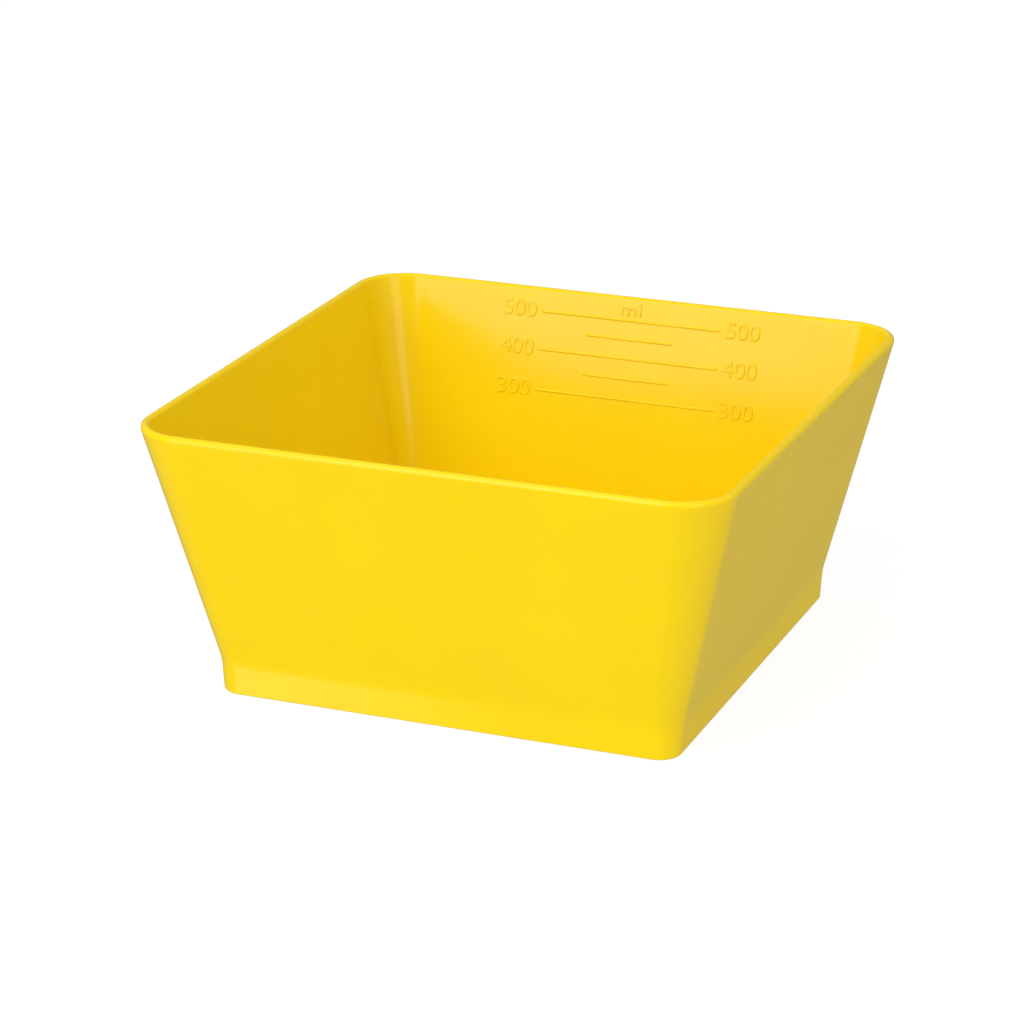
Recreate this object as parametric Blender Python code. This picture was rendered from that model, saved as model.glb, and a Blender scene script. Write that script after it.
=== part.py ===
"""A square mortar mixing tub: one thin-walled plastic moulding with measuring marks inside.

Units are metres and +Z is up. The origin is the centre of the base, on the surface that the
tub stands on. The front faces -Y, and the measuring marks are inside the +Y wall. The walls
flare outwards from a shallow foot band, and every level of the tub is a rounded square.
"""

import math

import bmesh
import bpy
from mathutils import Matrix, Vector

# Outside of the tub. A width is measured across two opposite flats.
HEIGHT = 0.0565
RIM_WIDTH = 0.1200
RIM_CORNER = 0.0110
KINK_HEIGHT = 0.0065  # top of the foot band, where the wall starts to flare
KINK_WIDTH = 0.0963
KINK_CORNER = 0.0054
BASE_WIDTH = 0.0953
BASE_CORNER = 0.0045

# The moulded wall, which has one thickness everywhere.
WALL = 0.0018
RIM_ROUND = WALL / 2
FLOOR_TOP = 0.0046
FOOT_DEPTH = FLOOR_TOP - WALL  # how far the floor stands above the surface under the tub
FLOOR_FILLET = 0.0022
FOOT_OUTER_ROUND = 0.0004
FOOT_INNER_ROUND = 0.0003
RECESS_FILLET = 0.0006

# The injection point left under the middle of the floor.
GATE_RADIUS = 0.0022
GATE_LENGTH = 0.0007
GATE_ROOT = 0.0006  # how far it reaches up into the floor

# Measuring marks, raised from the inner face of the +Y wall, each at the level of its volume.
CUBIC_METRES_PER_ML = 1e-6
LABELLED_ML = (300, 400, 500)  # long lines with a numeral at each end
HALFWAY_ML = (350, 450)  # short lines
LEVEL_STEP = 0.00005  # slice of the cavity that is measured at a time
MARK_RELIEF = 0.0002
MARK_ROOT = 0.0005  # how far a mark reaches back into the wall
LINE_WIDTH = 0.0007
LONG_LINE = 0.0406
SHORT_LINE = 0.0196
NUMERAL_HEIGHT = 0.0036
NUMERAL_WIDTH = 0.0076  # three digits together
NUMERAL_OFFSET = 0.0252  # from the middle of the wall to the middle of a label
NUMERAL_RISE = 0.0003  # from the line up to the middle of its labels
STROKE_SPREAD = 0.01  # fattens the characters' strokes, as a share of the font's size
UNIT_LABEL = "ml"
UNIT_HEIGHT = 0.0028
UNIT_WIDTH = 0.0046
UNIT_LEVEL = 0.0540

# Fineness of the mesh.
CORNER_STEPS = 10
ROUND_STEPS = 3
RIM_STEPS = 8
GATE_STEPS = 20
LINE_END_STEPS = 4
GLYPH_STEPS = 3


def wall_slope():
    """Angle of the flared wall from the vertical: it runs from the kink, tangent to the rim's round."""
    across = RIM_WIDTH / 2 - RIM_ROUND - KINK_WIDTH / 2
    up = HEIGHT - RIM_ROUND - KINK_HEIGHT
    return math.atan2(across, up) + math.asin(RIM_ROUND / math.hypot(across, up))


FLARE = wall_slope()
WALL_ACROSS = WALL / math.cos(FLARE)  # the wall's thickness measured level
FOOT_LEAN = (KINK_WIDTH - BASE_WIDTH) / 2 / KINK_HEIGHT


def outside_at(height):
    """Half width and corner radius of the outer surface at a height below the rim's round."""
    if height < KINK_HEIGHT:
        share = height / KINK_HEIGHT
        corner = BASE_CORNER + share * (KINK_CORNER - BASE_CORNER)
        return BASE_WIDTH / 2 + height * FOOT_LEAN, corner
    share = (height - KINK_HEIGHT) / (HEIGHT - KINK_HEIGHT)
    corner = KINK_CORNER + share * (RIM_CORNER - KINK_CORNER)
    return KINK_WIDTH / 2 + (height - KINK_HEIGHT) * math.tan(FLARE), corner


def ring(height, inset=0.0):
    """One level of the tub as (half width, corner radius, height), set in from the outer surface."""
    half, corner = outside_at(height)
    return half - inset, corner - inset, height


def rounded_bends(path):
    """Rings round each bend between the ends of a path of (inset, height, radius) points.

    The path's runs are level or upright, so every bend is a quarter circle.
    """
    rings = []
    for before, bend, after in zip(path, path[1:], path[2:]):
        corner = Vector(bend[:2])
        towards = (corner - Vector(before[:2])).normalized()
        away = (Vector(after[:2]) - corner).normalized()
        for i in range(ROUND_STEPS + 1):
            turned = math.pi / 2 * i / ROUND_STEPS
            inset, height = corner + bend[2] * (
                (math.sin(turned) - 1) * towards + (1 - math.cos(turned)) * away
            )
            rings.append(ring(height, inset))
    return rings


def foot_rings():
    """Out under the floor, down the inside of the foot, across its contact face and up the outside."""
    path = (
        (BASE_WIDTH / 2, FOOT_DEPTH, 0),
        (WALL_ACROSS, FOOT_DEPTH, RECESS_FILLET),
        (WALL_ACROSS, 0, FOOT_INNER_ROUND),
        (0, 0, FOOT_OUTER_ROUND),
        (0, KINK_HEIGHT, 0),
    )
    return rounded_bends(path) + [ring(KINK_HEIGHT)]


def rim_rings():
    """The full round of the rim, from the outer wall over the top to the inner wall."""
    middle = RIM_WIDTH / 2 - RIM_ROUND
    rings = []
    for i in range(RIM_STEPS + 1):
        angle = math.pi * i / RIM_STEPS - FLARE
        half = middle + RIM_ROUND * math.cos(angle)
        corner = RIM_CORNER - RIM_WIDTH / 2 + half
        rings.append((half, corner, HEIGHT - RIM_ROUND * (1 - math.sin(angle))))
    return rings


def cavity_rings():
    """Round the fillet between the inner wall and the floor. Its top is above the kink."""
    path = (
        (WALL_ACROSS, HEIGHT, 0),
        (WALL_ACROSS, FLOOR_TOP, FLOOR_FILLET),
        (BASE_WIDTH / 2, FLOOR_TOP, 0),
    )
    return rounded_bends(path)


def rounded_square(half, corner, height):
    """Points round one level, anticlockwise seen from above."""
    points = []
    for side in range(4):
        middle = Vector((half - corner, half - corner, 0))
        middle.rotate(Matrix.Rotation(side * math.pi / 2, 3, "Z"))
        for i in range(CORNER_STEPS + 1):
            angle = math.pi / 2 * (side + i / CORNER_STEPS)
            offset = corner * Vector((math.cos(angle), math.sin(angle), 0))
            points.append(middle + offset + Vector((0, 0, height)))
    return points


def loft(mesh, levels):
    """Joins the rings one to the next, and closes the first and the last."""
    loops = [[mesh.verts.new(point) for point in rounded_square(*level)] for level in levels]
    for lower, upper in zip(loops, loops[1:]):
        for i, first in enumerate(lower):
            j = (i + 1) % len(lower)
            mesh.faces.new((first, lower[j], upper[j], upper[i]))
    mesh.faces.new(loops[0][::-1])
    mesh.faces.new(loops[-1])


def object_from(name, mesh):
    """A new object in the scene from a bmesh, which is freed."""
    bmesh.ops.recalc_face_normals(mesh, faces=mesh.faces)
    data = bpy.data.meshes.new(name)
    mesh.to_mesh(data)
    mesh.free()
    made = bpy.data.objects.new(name, data)
    bpy.context.scene.collection.objects.link(made)
    return made


def yellow_polypropylene():
    material = bpy.data.materials.new("yellow_polypropylene")
    material.use_nodes = True
    shader = material.node_tree.nodes["Principled BSDF"]
    shader.inputs["Base Color"].default_value = (0.93, 0.66, 0.012, 1)
    shader.inputs["Roughness"].default_value = 0.3
    shader.inputs["Metallic"].default_value = 0.0
    return material


def inner_wall_place(x, height):
    """Matrix of a mark on the inner +Y wall: its X runs along the wall, and its Z out of the wall."""
    half, _ = outside_at(height)
    turn = Matrix.Rotation(math.pi / 2 - FLARE, 4, "X")
    return Matrix.Translation((x, half - WALL_ACROSS, height)) @ turn


def stand_out(mesh, flat_faces, place):
    """Thickens flat faces from behind the wall's surface to the marks' relief, and puts them in place."""
    bmesh.ops.translate(mesh, verts=mesh.verts, vec=(0, 0, -MARK_ROOT))
    grown = bmesh.ops.extrude_face_region(mesh, geom=flat_faces)
    raised = [item for item in grown["geom"] if isinstance(item, bmesh.types.BMVert)]
    bmesh.ops.translate(mesh, verts=raised, vec=(0, 0, MARK_ROOT + MARK_RELIEF))
    bmesh.ops.transform(mesh, matrix=place, verts=mesh.verts)


def graduation_line(name, length, height):
    """A raised bar with round ends."""
    mesh = bmesh.new()
    outline = []
    for end in (1, -1):
        for i in range(LINE_END_STEPS + 1):
            angle = math.pi * (i / LINE_END_STEPS - 0.5)
            across = end * (length / 2 - LINE_WIDTH / 2 + LINE_WIDTH / 2 * math.cos(angle))
            outline.append(mesh.verts.new((across, end * LINE_WIDTH / 2 * math.sin(angle), 0)))
    face = mesh.faces.new(outline)
    stand_out(mesh, [face], inner_wall_place(0, height))
    return object_from(name, mesh)


def raised_text(name, text, size, place):
    """Raised characters that fill a box of the given width and height, centred on the place."""
    curve = bpy.data.curves.new(name, "FONT")
    curve.body = text
    curve.resolution_u = GLYPH_STEPS
    curve.offset = STROKE_SPREAD
    writing = bpy.data.objects.new(name, curve)
    outline = bpy.data.meshes.new_from_object(writing)
    bpy.data.objects.remove(writing)
    mesh = bmesh.new()
    mesh.from_mesh(outline)
    bpy.data.meshes.remove(outline)
    bmesh.ops.remove_doubles(mesh, verts=mesh.verts, dist=0.0001)
    low = Vector([min(vert.co[axis] for vert in mesh.verts) for axis in range(2)])
    high = Vector([max(vert.co[axis] for vert in mesh.verts) for axis in range(2)])
    middle = (low + high) / 2
    scale = [size[axis] / (high[axis] - low[axis]) for axis in range(2)]
    bmesh.ops.translate(mesh, verts=mesh.verts, vec=(-middle.x, -middle.y, 0))
    bmesh.ops.scale(mesh, verts=mesh.verts, vec=(scale[0], scale[1], 1))
    stand_out(mesh, mesh.faces[:], place)
    return object_from(name, mesh)


def cavity_area(height):
    """Area of the cavity at one level."""
    into_fillet = max(0.0, FLOOR_TOP + FLOOR_FILLET - height)
    inset = WALL_ACROSS + FLOOR_FILLET - math.sqrt(FLOOR_FILLET**2 - into_fillet**2)
    half, corner, _ = ring(height, inset)
    return 4 * half**2 - (4 - math.pi) * corner**2


def level_of(millilitres):
    """Height of the surface of a volume of liquid in the tub."""
    height = FLOOR_TOP
    left = millilitres * CUBIC_METRES_PER_ML
    while left > 0:
        left -= cavity_area(height + LEVEL_STEP / 2) * LEVEL_STEP
        height += LEVEL_STEP
    return height


def measuring_marks():
    """Every raised line and label, each as its own closed shape."""
    marks = []
    for volume in LABELLED_ML:
        height = level_of(volume)
        marks.append(graduation_line(f"line_{volume}", LONG_LINE, height))
        for side in (-1, 1):
            place = inner_wall_place(side * NUMERAL_OFFSET, height + NUMERAL_RISE)
            size = (NUMERAL_WIDTH, NUMERAL_HEIGHT)
            marks.append(raised_text(f"label_{volume}", str(volume), size, place))
    for volume in HALFWAY_ML:
        marks.append(graduation_line(f"line_{volume}", SHORT_LINE, level_of(volume)))
    place = inner_wall_place(0, UNIT_LEVEL)
    marks.append(raised_text("unit_label", UNIT_LABEL, (UNIT_WIDTH, UNIT_HEIGHT), place))
    return marks


def gate_mark():
    """The short round stub of the injection point."""
    mesh = bmesh.new()
    bmesh.ops.create_cone(
        mesh,
        cap_ends=True,
        segments=GATE_STEPS,
        radius1=GATE_RADIUS,
        radius2=GATE_RADIUS,
        depth=GATE_LENGTH + GATE_ROOT,
    )
    middle = FOOT_DEPTH + (GATE_ROOT - GATE_LENGTH) / 2
    bmesh.ops.translate(mesh, verts=mesh.verts, vec=(0, 0, middle))
    return object_from("gate_mark", mesh)


def join_to(shell, details):
    """Makes the details one with the shell, and hides the shapes they were made from."""
    group = bpy.data.collections.new("moulded_details")
    bpy.context.scene.collection.children.link(group)
    for detail in details:
        bpy.context.scene.collection.objects.unlink(detail)
        group.objects.link(detail)
        detail.hide_render = True
        detail.display_type = "WIRE"
    union = shell.modifiers.new("details", "BOOLEAN")
    union.operation = "UNION"
    union.operand_type = "COLLECTION"
    union.collection = group
    union.solver = "EXACT"


def tub_shell():
    """The whole tub, with its marks and its gate mark moulded on."""
    mesh = bmesh.new()
    loft(mesh, foot_rings() + rim_rings() + cavity_rings())
    shell = object_from("tub_shell", mesh)
    shell.data.materials.append(yellow_polypropylene())
    shell.data.shade_smooth()
    shell.data.set_sharp_from_angle(angle=math.radians(30))
    join_to(shell, measuring_marks() + [gate_mark()])
    return shell


def clear_scene():
    for old in list(bpy.data.objects):
        bpy.data.objects.remove(old)


clear_scene()
tub_shell()
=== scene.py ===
"""The looks of a small square mixing tub: one glossy yellow moulding with raised volume marks inside.

Units are metres in the CAD model's frame: +Z up, the origin in the middle of the base, the front
towards -Y and the volume marks inside the +Y wall.
"""

import math

import bmesh
import bpy
from mathutils import Matrix, Vector


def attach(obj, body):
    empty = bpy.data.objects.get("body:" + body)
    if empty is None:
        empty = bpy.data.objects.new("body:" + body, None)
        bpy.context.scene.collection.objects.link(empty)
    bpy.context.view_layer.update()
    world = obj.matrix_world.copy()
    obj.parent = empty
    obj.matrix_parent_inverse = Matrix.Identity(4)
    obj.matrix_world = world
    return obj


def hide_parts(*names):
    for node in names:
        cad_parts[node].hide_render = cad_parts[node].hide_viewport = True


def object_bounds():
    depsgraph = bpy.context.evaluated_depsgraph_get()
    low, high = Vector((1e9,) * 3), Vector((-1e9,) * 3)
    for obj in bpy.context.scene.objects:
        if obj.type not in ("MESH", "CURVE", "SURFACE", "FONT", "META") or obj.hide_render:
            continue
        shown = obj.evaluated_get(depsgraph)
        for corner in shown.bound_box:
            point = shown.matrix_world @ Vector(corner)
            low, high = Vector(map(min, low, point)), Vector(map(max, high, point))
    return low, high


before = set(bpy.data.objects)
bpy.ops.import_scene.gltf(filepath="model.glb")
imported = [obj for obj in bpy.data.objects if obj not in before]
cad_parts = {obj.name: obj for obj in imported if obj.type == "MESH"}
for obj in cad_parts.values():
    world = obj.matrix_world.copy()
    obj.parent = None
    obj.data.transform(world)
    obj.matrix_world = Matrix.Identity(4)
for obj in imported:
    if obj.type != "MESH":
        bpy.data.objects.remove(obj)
cad_low, cad_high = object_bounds()

# The outside of the tub, as in the CAD model. A width is measured across two opposite flats.
HEIGHT = cad_high.z - cad_low.z
RIM_WIDTH = cad_high.x - cad_low.x
RIM_CORNER = 0.0110
KINK_HEIGHT = 0.0065
KINK_WIDTH = 0.0963
KINK_CORNER = 0.0054
KINK_SOFTNESS = 0.0018  # how far above and below the kink its bend reaches
BASE_WIDTH = 0.0953
BASE_CORNER = 0.0045
WALL = 0.0018
RIM_ROUND = WALL / 2
FLOOR_TOP = 0.0046
FOOT_DEPTH = FLOOR_TOP - WALL
FLOOR_FILLET = 0.0022
FOOT_OUTER_ROUND = 0.0004
FOOT_INNER_ROUND = 0.0003
RECESS_FILLET = 0.0006

# The injection point under the floor.
GATE_RADIUS = 0.0022
GATE_LENGTH = 0.0007
GATE_ROOT = 0.0006
GATE_ROUND = 0.0002

# Volume marks. Each one's level is worked out from its volume, as in the CAD model.
CUBIC_METRES_PER_ML = 1e-6
LABELLED_ML = (300, 400, 500)
HALFWAY_ML = (350, 450)
LEVEL_STEP = 0.00005
MARK_RELIEF = 0.0002
MARK_ROOT = 0.0005
MARK_ROUND_STEPS = 4
LINE_WIDTH = 0.0007
LINE_ROUND = 0.00033
LONG_LINE = 0.0406
SHORT_LINE = 0.0196
NUMERAL_HEIGHT = 0.0036
NUMERAL_WIDTH = 0.0076
NUMERAL_OFFSET = 0.0252
NUMERAL_RISE = 0.0003
STROKE_SPREAD = 0.01  # this and the next two are shares of the font's size
STROKE_ROUND = 0.022
STROKE_DEPTH = 0.04
UNIT_LABEL = "ml"
UNIT_HEIGHT = 0.0028
UNIT_WIDTH = 0.0046
UNIT_LEVEL = 0.0540

# Fineness of the mesh.
CORNER_STEPS = 24
SIDE_STEPS = 10
WALL_STEPS = 12
KINK_STEPS = 10
ROUND_STEPS = 6
RIM_STEPS = 16
GATE_STEPS = 48
LINE_END_STEPS = 12
GLYPH_STEPS = 8
MERGE_DISTANCE = 1e-6
FLOOR_SHARES = (0.02, 0.25, 0.5, 0.75, 0.97)
SHARP_ANGLE = math.radians(40)

# Camera: it looks down at the front and right sides from a little way off.
CAMERA_AZIMUTH = 22.073
CAMERA_ELEVATION = 19.951
CAMERA_ROLL = -0.239
CAMERA_DISTANCE = 0.7194
CAMERA_SLIDE = Vector((-0.00385, -0.00041))  # to its right and up
CAMERA_LENS_MM = 125.8
SENSOR_MM = 36.0

# The plastic. The lengths of its patterns are from one bright patch to the next.
YELLOW = (0.86, 0.612, 0.0026)
DEEP_YELLOW = (0.845, 0.588, 0.0022)
MOTTLE_LENGTH = 0.018
GLOSS_LENGTH = 0.009
PEEL_LENGTH = 0.0013
WAVE_LENGTH = 0.022
POLISHED = 0.15  # roughness
CLOUDED = 0.19
RUBBED = 0.26
PEEL_DEPTH = 0.0000025
WAVE_DEPTH = 0.00002
SCRATCH_DEPTH = 0.000003
SCRATCH_STRETCH = (420, 22, 60)  # cells of the noise in a metre, along each axis
SCRATCH_WIDTH = 0.012  # how far the noise may be from its middle value on a scratch
SCRATCH_PATCH_LENGTH = 0.011
SCRATCH_SPARSENESS = 1.2  # the larger, the less of the surface is scratched
SCRATCH_TURNS = ((0.3, 0.2, 0.5), (0.9, 0.1, 2.2))  # radians
NOISE_RANGE = (0.3, 0.7)  # most of a noise texture's values lie between these
REFRACTIVE_INDEX = 1.49

# Light. Radiances are shares of paper white.
LIGHT_DISTANCE = 1.2
BACKDROP = 1.0
ROOM_LIGHT = 0.72
MIRRORED_FRONT = 0.01
MIRRORED_BACK = 0.20
MIRRORED_TURN = (-0.6, -0.1)  # Y of the directions between which the mirrored grey changes
FLOOR_REACH = 6.0
FLOOR_GLOW = 0.9
FLOOR_WHITE = 0.12
FLOOR_ROUGHNESS = 0.9
FLOOR_GAP = 0.0001  # the floor lies this far under the foot, so that the two faces don't fight


def wall_slope():
    """Angle of the flared wall from the vertical: it runs from the kink, tangent to the rim's round."""
    across = RIM_WIDTH / 2 - RIM_ROUND - KINK_WIDTH / 2
    up = HEIGHT - RIM_ROUND - KINK_HEIGHT
    return math.atan2(across, up) + math.asin(RIM_ROUND / math.hypot(across, up))


FLARE = wall_slope()
WALL_ACROSS = WALL / math.cos(FLARE)
FOOT_LEAN = (KINK_WIDTH - BASE_WIDTH) / 2 / KINK_HEIGHT
FOOT_CORNER_LEAN = (KINK_CORNER - BASE_CORNER) / KINK_HEIGHT
WALL_CORNER_LEAN = (RIM_CORNER - KINK_CORNER) / (HEIGHT - KINK_HEIGHT)


def bent(at_kink, lean_below, lean_above, height):
    """A size that grows at one rate below the kink and at another above it, with a soft bend between."""
    above = height - KINK_HEIGHT
    straight = at_kink + above * (lean_above if above > 0 else lean_below)
    inside_bend = max(0.0, KINK_SOFTNESS - abs(above))
    return straight + (lean_above - lean_below) * inside_bend**2 / (4 * KINK_SOFTNESS)


def ring(height, inset=0.0):
    """One level of the tub as (half width, corner radius, height), set in from the outer surface."""
    half = bent(KINK_WIDTH / 2, FOOT_LEAN, math.tan(FLARE), height)
    corner = bent(KINK_CORNER, FOOT_CORNER_LEAN, WALL_CORNER_LEAN, height)
    return half - inset, corner - inset, height


def rounded_bends(path):
    """Rings round each bend between the ends of a path of (inset, height, radius) points.

    The path's runs are level or upright, so every bend is a quarter circle.
    """
    rings = []
    for before, bend, after in zip(path, path[1:], path[2:]):
        corner = Vector(bend[:2])
        towards = (corner - Vector(before[:2])).normalized()
        away = (Vector(after[:2]) - corner).normalized()
        for i in range(ROUND_STEPS + 1):
            turned = math.pi / 2 * i / ROUND_STEPS
            inset, height = corner + bend[2] * (
                (math.sin(turned) - 1) * towards + (1 - math.cos(turned)) * away
            )
            rings.append(ring(height, inset))
    return rings


def floor_rings(height, edge):
    """Smaller and smaller rings that fill a level floor, from the middle out to an edge ring."""
    half, corner, _ = edge
    return [(half * share, corner * share, height) for share in FLOOR_SHARES]


def foot_rings():
    """Out under the floor, down the inside of the foot, across its contact face and up the outside."""
    path = (
        (BASE_WIDTH / 2, FOOT_DEPTH, 0),
        (WALL_ACROSS, FOOT_DEPTH, RECESS_FILLET),
        (WALL_ACROSS, 0, FOOT_INNER_ROUND),
        (0, 0, FOOT_OUTER_ROUND),
        (0, KINK_HEIGHT, 0),
    )
    rings = rounded_bends(path)
    return floor_rings(FOOT_DEPTH, rings[0]) + rings


def wall_heights():
    """Levels up the wall: close together round the kink, then evenly spaced to the rim."""
    low = KINK_HEIGHT - KINK_SOFTNESS
    kink = [low + 2 * KINK_SOFTNESS * i / KINK_STEPS for i in range(KINK_STEPS + 1)]
    top = HEIGHT - 2 * RIM_ROUND
    wall = [kink[-1] + (top - kink[-1]) * i / WALL_STEPS for i in range(1, WALL_STEPS + 1)]
    return kink + wall


def rim_rings():
    """The full round of the rim, from the outer wall over the top to the inner wall."""
    middle = RIM_WIDTH / 2 - RIM_ROUND
    rings = []
    for i in range(RIM_STEPS + 1):
        angle = math.pi * i / RIM_STEPS - FLARE
        half = middle + RIM_ROUND * math.cos(angle)
        corner = RIM_CORNER - RIM_WIDTH / 2 + half
        rings.append((half, corner, HEIGHT - RIM_ROUND * (1 - math.sin(angle))))
    return rings


def cavity_rings():
    """Down the inner wall, round the fillet and across the floor."""
    path = (
        (WALL_ACROSS, HEIGHT, 0),
        (WALL_ACROSS, FLOOR_TOP, FLOOR_FILLET),
        (BASE_WIDTH / 2, FLOOR_TOP, 0),
    )
    fillet = rounded_bends(path)
    top_of_fillet = fillet[0][2]
    wall = [ring(height, WALL_ACROSS) for height in wall_heights()[::-1] if height > top_of_fillet]
    return wall + fillet + floor_rings(FLOOR_TOP, fillet[-1])[::-1]


def rounded_square(half, corner, height):
    """Points round one level, anticlockwise seen from above: each corner's arc, then the flat after it."""
    points = []
    for side in range(4):
        turn = Matrix.Rotation(side * math.pi / 2, 3, "Z")
        flat = half - corner
        for i in range(CORNER_STEPS + 1):
            angle = math.pi / 2 * i / CORNER_STEPS
            across = flat + corner * math.cos(angle)
            along = flat + corner * math.sin(angle)
            points.append(turn @ Vector((across, along, height)))
        for i in range(1, SIDE_STEPS):
            points.append(turn @ Vector((flat * (1 - 2 * i / SIDE_STEPS), half, height)))
    return points


def loft(mesh, levels):
    """Joins the rings one to the next, and closes the first and the last."""
    loops = [[mesh.verts.new(point) for point in rounded_square(*level)] for level in levels]
    for lower, upper in zip(loops, loops[1:]):
        for i, first in enumerate(lower):
            j = (i + 1) % len(lower)
            mesh.faces.new((first, lower[j], upper[j], upper[i]))
    mesh.faces.new(loops[0][::-1])
    mesh.faces.new(loops[-1])


def object_from(name, mesh):
    """A new object in the scene from a bmesh, which is freed."""
    bmesh.ops.recalc_face_normals(mesh, faces=mesh.faces)
    data = bpy.data.meshes.new(name)
    mesh.to_mesh(data)
    mesh.free()
    made = bpy.data.objects.new(name, data)
    bpy.context.scene.collection.objects.link(made)
    return made


def cavity_area(height):
    """Area of the cavity at one level."""
    into_fillet = max(0.0, FLOOR_TOP + FLOOR_FILLET - height)
    inset = WALL_ACROSS + FLOOR_FILLET - math.sqrt(FLOOR_FILLET**2 - into_fillet**2)
    half, corner, _ = ring(height, inset)
    return 4 * half**2 - (4 - math.pi) * corner**2


def level_of(millilitres):
    """Height of the surface of a volume of liquid in the tub."""
    height = FLOOR_TOP
    left = millilitres * CUBIC_METRES_PER_ML
    while left > 0:
        left -= cavity_area(height + LEVEL_STEP / 2) * LEVEL_STEP
        height += LEVEL_STEP
    return height


def inner_wall_place(x, height):
    """Matrix of a mark on the inner +Y wall: its X runs along the wall, and its Z out of the wall."""
    half, _, _ = ring(height, WALL_ACROSS)
    turn = Matrix.Rotation(math.pi / 2 - FLARE, 4, "X")
    return Matrix.Translation((x, half, height)) @ turn


def thicken(mesh, flat_faces, low, high):
    """Turns flat faces at Z = 0 into a closed block between two levels, and returns its upper faces."""
    bmesh.ops.translate(mesh, verts=mesh.verts, vec=(0, 0, low))
    grown = bmesh.ops.extrude_face_region(mesh, geom=flat_faces)["geom"]
    raised = [item for item in grown if isinstance(item, bmesh.types.BMVert)]
    bmesh.ops.translate(mesh, verts=raised, vec=(0, 0, high - low))
    return [item for item in grown if isinstance(item, bmesh.types.BMFace)]


def round_off(mesh, upper_faces, radius):
    """Rounds the outline of the upper faces of a block."""
    upper = set(upper_faces)
    outline = [
        edge
        for edge in mesh.edges
        if sum(face in upper for face in edge.link_faces) == 1
    ]
    bmesh.ops.bevel(
        mesh,
        geom=outline,
        offset=radius,
        segments=MARK_ROUND_STEPS,
        profile=0.5,
        affect="EDGES",
        clamp_overlap=True,
    )


def graduation_line(name, length, height):
    """A raised bar with round ends and a rounded top."""
    mesh = bmesh.new()
    outline = []
    radius = LINE_WIDTH / 2
    for end in (1, -1):
        for i in range(LINE_END_STEPS + 1):
            angle = math.pi * (i / LINE_END_STEPS - 0.5)
            across = end * (length / 2 - radius + radius * math.cos(angle))
            outline.append(mesh.verts.new((across, end * radius * math.sin(angle), 0)))
    upper = thicken(mesh, [mesh.faces.new(outline)], -MARK_ROOT, MARK_RELIEF)
    round_off(mesh, upper, LINE_ROUND)
    bmesh.ops.transform(mesh, matrix=inner_wall_place(0, height), verts=mesh.verts)
    return object_from(name, mesh)


def raised_text(name, text, size, place):
    """Raised characters with rounded edges, which fill a box of the given width and height."""
    curve = bpy.data.curves.new(name, "FONT")
    curve.body = text
    curve.resolution_u = GLYPH_STEPS
    curve.extrude = STROKE_DEPTH
    curve.bevel_depth = STROKE_ROUND
    curve.bevel_resolution = MARK_ROUND_STEPS - 1
    curve.offset = STROKE_SPREAD - STROKE_ROUND
    writing = bpy.data.objects.new(name, curve)
    outline = bpy.data.meshes.new_from_object(writing)
    bpy.data.objects.remove(writing)
    mesh = bmesh.new()
    mesh.from_mesh(outline)
    bpy.data.meshes.remove(outline)
    bmesh.ops.remove_doubles(mesh, verts=mesh.verts, dist=MERGE_DISTANCE)
    low = Vector([min(vert.co[axis] for vert in mesh.verts) for axis in range(3)])
    high = Vector([max(vert.co[axis] for vert in mesh.verts) for axis in range(3)])
    filled = Vector((*size, MARK_ROOT + MARK_RELIEF))
    scale = [filled[axis] / (high - low)[axis] for axis in range(3)]
    bmesh.ops.translate(mesh, verts=mesh.verts, vec=-(low + high) / 2)
    bmesh.ops.scale(mesh, verts=mesh.verts, vec=scale)
    bmesh.ops.translate(mesh, verts=mesh.verts, vec=(0, 0, (MARK_RELIEF - MARK_ROOT) / 2))
    bmesh.ops.transform(mesh, matrix=place, verts=mesh.verts)
    return object_from(name, mesh)


def volume_marks():
    """Every raised line and label, each a closed shape that reaches back into the wall."""
    marks = []
    for volume in LABELLED_ML:
        height = level_of(volume)
        marks.append(graduation_line(f"line_{volume}_ml", LONG_LINE, height))
        for side, end in ((-1, "left"), (1, "right")):
            place = inner_wall_place(side * NUMERAL_OFFSET, height + NUMERAL_RISE)
            size = (NUMERAL_WIDTH, NUMERAL_HEIGHT)
            marks.append(raised_text(f"numeral_{volume}_{end}", str(volume), size, place))
    for volume in HALFWAY_ML:
        marks.append(graduation_line(f"line_{volume}_ml", SHORT_LINE, level_of(volume)))
    place = inner_wall_place(0, UNIT_LEVEL)
    marks.append(raised_text("unit_label", UNIT_LABEL, (UNIT_WIDTH, UNIT_HEIGHT), place))
    return marks


def gate_stub():
    """The injection point's short round stub, which hangs from the underside of the floor."""
    mesh = bmesh.new()
    turns = [2 * math.pi * i / GATE_STEPS for i in range(GATE_STEPS)]
    circle = [Vector((math.cos(turn), math.sin(turn), 0)) * GATE_RADIUS for turn in turns]
    disc = mesh.faces.new([mesh.verts.new(point) for point in circle])
    lower = thicken(mesh, [disc], -GATE_ROOT, GATE_LENGTH)
    round_off(mesh, lower, GATE_ROUND)
    hang = Matrix.Translation((0, 0, FOOT_DEPTH)) @ Matrix.Rotation(math.pi, 4, "X")
    bmesh.ops.transform(mesh, matrix=hang, verts=mesh.verts)
    return object_from("gate_stub", mesh)


def join_to(shell, details):
    """Makes the details one closed mesh with the shell, and removes the shapes they were made from."""
    group = bpy.data.collections.new("details")
    for detail in details:
        group.objects.link(detail)
    union = shell.modifiers.new("union", "BOOLEAN")
    union.operation = "UNION"
    union.operand_type = "COLLECTION"
    union.collection = group
    union.solver = "EXACT"
    whole = shell.evaluated_get(bpy.context.evaluated_depsgraph_get())
    joined = bpy.data.meshes.new_from_object(whole)
    shell.modifiers.remove(union)
    shell.data = joined
    for detail in details:
        bpy.data.objects.remove(detail)
    bpy.data.collections.remove(group)


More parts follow.
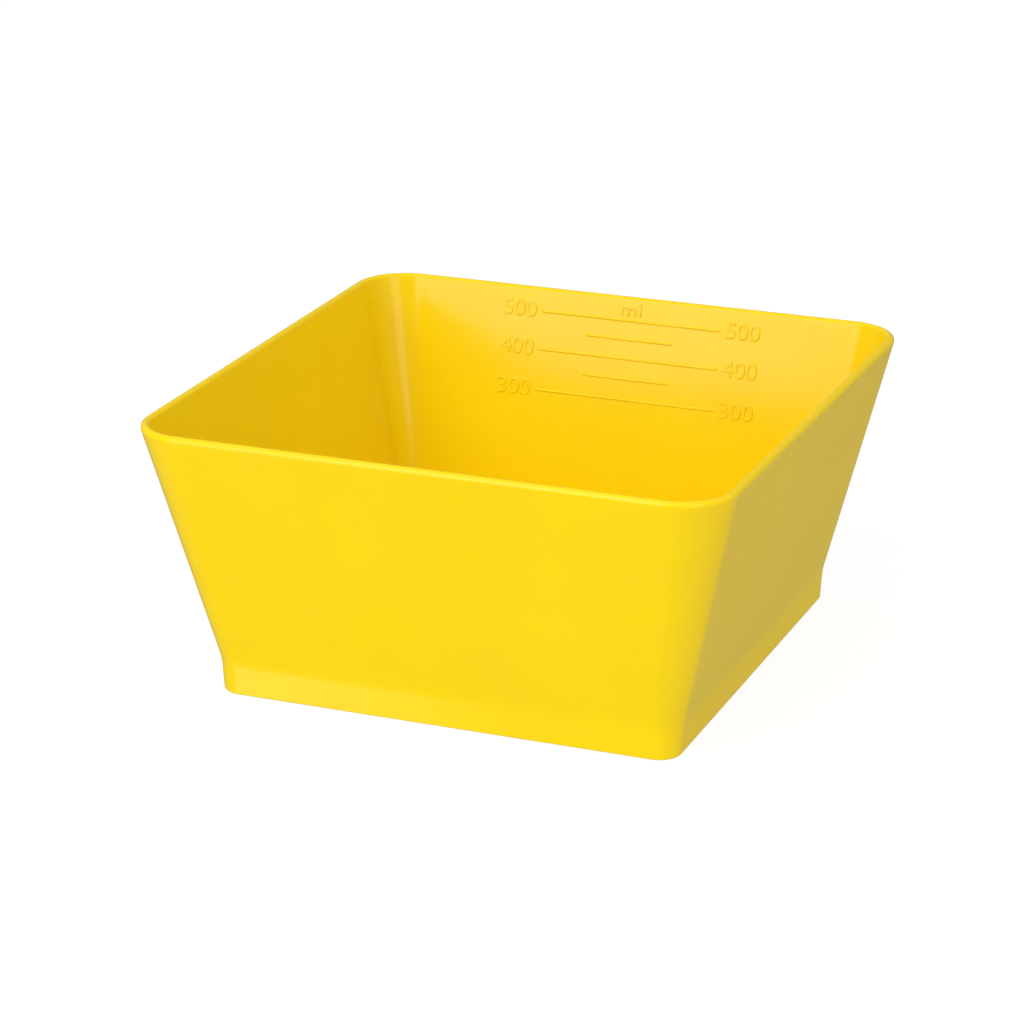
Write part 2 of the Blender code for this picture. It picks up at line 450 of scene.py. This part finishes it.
def tub_moulding():
    """The whole tub in one piece, shaded smooth except at the foot of each raised mark."""
    mesh = bmesh.new()
    outer_wall = [ring(height) for height in wall_heights()]
    loft(mesh, foot_rings() + outer_wall + rim_rings() + cavity_rings())
    tub = object_from("tub_moulding", mesh)
    join_to(tub, volume_marks() + [gate_stub()])
    tub.data.shade_smooth()
    tub.data.set_sharp_from_angle(angle=SHARP_ANGLE)
    flats = tub.modifiers.new("flats", "WEIGHTED_NORMAL")
    flats.keep_sharp = True
    return tub


def camera_at_the_front():
    """The camera, turned about the middle of the tub and slid a little in its own view."""
    azimuth, elevation = math.radians(CAMERA_AZIMUTH), math.radians(CAMERA_ELEVATION)
    back = Vector(
        (
            math.sin(azimuth) * math.cos(elevation),
            -math.cos(azimuth) * math.cos(elevation),
            math.sin(elevation),
        )
    )
    turn = back.to_track_quat("Z", "Y").to_matrix()
    turn = turn @ Matrix.Rotation(math.radians(CAMERA_ROLL), 3, "Z")
    slide = turn @ Vector((*CAMERA_SLIDE, 0))
    camera = bpy.data.objects.new("camera", bpy.data.cameras.new("camera"))
    camera.data.lens = CAMERA_LENS_MM
    camera.data.sensor_width = SENSOR_MM
    place = Vector((0, 0, HEIGHT / 2)) + back * CAMERA_DISTANCE + slide
    camera.matrix_world = Matrix.Translation(place) @ turn.to_4x4()
    bpy.context.scene.collection.objects.link(camera)
    bpy.context.scene.camera = camera


def direction(azimuth, elevation):
    """Unit vector: azimuth 0 is the front, growing towards the left side, in degrees."""
    turn, tilt = math.radians(azimuth), math.radians(elevation)
    flat = math.cos(tilt)
    return Vector((-math.sin(turn) * flat, -math.cos(turn) * flat, math.sin(tilt)))


def soft_light(name, azimuth, elevation, width, height, radiance, diffuse=True, glossy=True):
    """A rectangular light that faces the tub. Its width and height are degrees of view from the tub."""
    light = bpy.data.lights.new(name, "AREA")
    light.shape = "RECTANGLE"
    light.size = 2 * LIGHT_DISTANCE * math.tan(math.radians(width / 2))
    light.size_y = 2 * LIGHT_DISTANCE * math.tan(math.radians(height / 2))
    light.energy = radiance * math.pi * light.size * light.size_y
    lamp = bpy.data.objects.new(name, light)
    towards = direction(azimuth, elevation)
    turn = towards.to_track_quat("Z", "Y").to_matrix().to_4x4()
    lamp.matrix_world = Matrix.Translation(Vector((0, 0, HEIGHT / 2)) + towards * LIGHT_DISTANCE) @ turn
    lamp.visible_camera = False
    lamp.visible_diffuse = diffuse
    lamp.visible_glossy = glossy
    bpy.context.scene.collection.objects.link(lamp)


def node(tree, kind, inputs=None, **settings):
    """A new node with its settings made, and each of the given inputs linked or set."""
    made = tree.nodes.new(kind)
    for name, value in settings.items():
        setattr(made, name, value)
    for name, value in (inputs or {}).items():
        if isinstance(value, bpy.types.NodeSocket):
            tree.links.new(value, made.inputs[name])
        else:
            made.inputs[name].default_value = value
    return made


def ramp(tree, value, inputs, outputs):
    """A value carried from one pair of limits to another, and held at the ends."""
    names = ("From Min", "From Max", "To Min", "To Max")
    limits = dict(zip(names, (*inputs, *outputs)))
    return node(tree, "ShaderNodeMapRange", {"Value": value, **limits}).outputs["Result"]


def math_node(tree, operation, first, second):
    """The result of a Math node on two sockets or numbers."""
    made = node(tree, "ShaderNodeMath", {0: first, 1: second}, operation=operation)
    return made.outputs["Value"]


def room():
    """An even white room, of which the polished tub mirrors only a dim grey."""
    world = bpy.data.worlds.new("room")
    bpy.context.scene.world = world
    world.use_nodes = True
    tree = world.node_tree
    tree.nodes.clear()
    ray = node(tree, "ShaderNodeLightPath").outputs
    towards = node(tree, "ShaderNodeTexCoord").outputs["Generated"]
    from_front = node(tree, "ShaderNodeSeparateXYZ", {"Vector": towards}).outputs["Y"]
    mirrored = ramp(tree, from_front, MIRRORED_TURN, (MIRRORED_FRONT, MIRRORED_BACK))
    lighting = ramp(tree, ray["Is Camera Ray"], (0.0, 1.0), (ROOM_LIGHT, BACKDROP))
    strength = node(tree, "ShaderNodeMix", {"Factor": ray["Is Glossy Ray"], "A": lighting, "B": mirrored})
    white = node(tree, "ShaderNodeBackground", {"Strength": strength.outputs["Result"]})
    white.inputs["Color"].default_value = (1, 1, 1, 1)
    node(tree, "ShaderNodeOutputWorld", {"Surface": white.outputs["Background"]})


def pale_floor():
    """A white light table, which takes only a faint shadow."""
    mesh = bmesh.new()
    bmesh.ops.create_grid(mesh, x_segments=1, y_segments=1, size=FLOOR_REACH)
    floor = object_from("floor", mesh)
    floor.location.z = -FLOOR_GAP
    floor.visible_glossy = False
    material = bpy.data.materials.new("light_table")
    material.use_nodes = True
    shader = material.node_tree.nodes["Principled BSDF"]
    shader.inputs["Base Color"].default_value = (FLOOR_WHITE, FLOOR_WHITE, FLOOR_WHITE, 1)
    shader.inputs["Roughness"].default_value = FLOOR_ROUGHNESS
    shader.inputs["Specular IOR Level"].default_value = 0.0
    shader.inputs["Emission Color"].default_value = (1, 1, 1, 1)
    shader.inputs["Emission Strength"].default_value = FLOOR_GLOW
    floor.data.materials.append(material)


def drift(tree, place, length, low, high, detail=2.0):
    """A number that wanders between two values over the surface."""
    inputs = {"Vector": place, "Scale": 1 / length, "Detail": detail}
    noise = node(tree, "ShaderNodeTexNoise", inputs).outputs["Fac"]
    return ramp(tree, noise, NOISE_RANGE, (low, high))


def scratches(tree, place, turn):
    """1 on thin, nearly straight lines that come and go, and 0 between them.

    The lines are level lines of a noise that is drawn out one way.
    """
    stretch = {"Vector": place, "Rotation": turn, "Scale": SCRATCH_STRETCH}
    drawn_out = node(tree, "ShaderNodeMapping", stretch).outputs["Vector"]
    noise = node(tree, "ShaderNodeTexNoise", {"Vector": drawn_out, "Scale": 1.0, "Detail": 1.0})
    above = math_node(tree, "SUBTRACT", noise.outputs["Fac"], 0.5)
    off_line = math_node(tree, "ABSOLUTE", above, 0.0)
    line = ramp(tree, off_line, (0.0, SCRATCH_WIDTH), (1.0, 0.0))
    patches = drift(tree, place, SCRATCH_PATCH_LENGTH, -SCRATCH_SPARSENESS, 1.0)
    kept = math_node(tree, "MAXIMUM", patches, 0.0)
    return math_node(tree, "MULTIPLY", line, kept)


def yellow_plastic():
    """Glossy moulded polypropylene: hardly mottled, faintly pebbled, with hairline handling marks."""
    material = bpy.data.materials.new("yellow_plastic")
    material.use_nodes = True
    tree = material.node_tree
    shader = tree.nodes["Principled BSDF"]
    shader.inputs["IOR"].default_value = REFRACTIVE_INDEX
    place = node(tree, "ShaderNodeTexCoord").outputs["Object"]

    mottle = drift(tree, place, MOTTLE_LENGTH, 0.0, 1.0, detail=4.0)
    colour = node(tree, "ShaderNodeMix", {"Factor": mottle}, data_type="RGBA")
    colour.inputs["A"].default_value = (*YELLOW, 1)
    colour.inputs["B"].default_value = (*DEEP_YELLOW, 1)
    tree.links.new(colour.outputs["Result"], shader.inputs["Base Color"])

    one_way, another_way = [scratches(tree, place, turn) for turn in SCRATCH_TURNS]
    hairlines = math_node(tree, "MAXIMUM", one_way, another_way)
    cloud = drift(tree, place, GLOSS_LENGTH, POLISHED, CLOUDED, detail=3.0)
    rubbed = node(tree, "ShaderNodeMix", {"Factor": hairlines, "A": cloud, "B": RUBBED})
    tree.links.new(rubbed.outputs["Result"], shader.inputs["Roughness"])

    peel = drift(tree, place, PEEL_LENGTH, 0.0, PEEL_DEPTH)
    waves = drift(tree, place, WAVE_LENGTH, 0.0, WAVE_DEPTH, detail=0.0)
    cut = math_node(tree, "MULTIPLY", hairlines, SCRATCH_DEPTH)
    relief = math_node(tree, "SUBTRACT", math_node(tree, "ADD", peel, waves), cut)
    bump = node(tree, "ShaderNodeBump", {"Height": relief, "Distance": 1.0})
    tree.links.new(bump.outputs["Normal"], shader.inputs["Normal"])
    return material


tub = tub_moulding()
tub.data.materials.append(yellow_plastic())
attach(tub, "root")
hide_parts("tub_shell")
pale_floor()
room()
soft_light("tall_softbox", 20.5, 20, 15, 50, 1.6)
soft_light("right_softbox", -48, 15, 26, 50, 1.1, diffuse=False)
soft_light("front_softbox", 4, 52, 70, 36, 2.6, glossy=False)
soft_light("wide_card", 26, 30, 24, 70, 0.5, diffuse=False)
soft_light("low_card", 35, -22.5, 16, 27, 1.35, diffuse=False)
camera_at_the_front()
bpy.context.scene.view_settings.view_transform = "Standard"
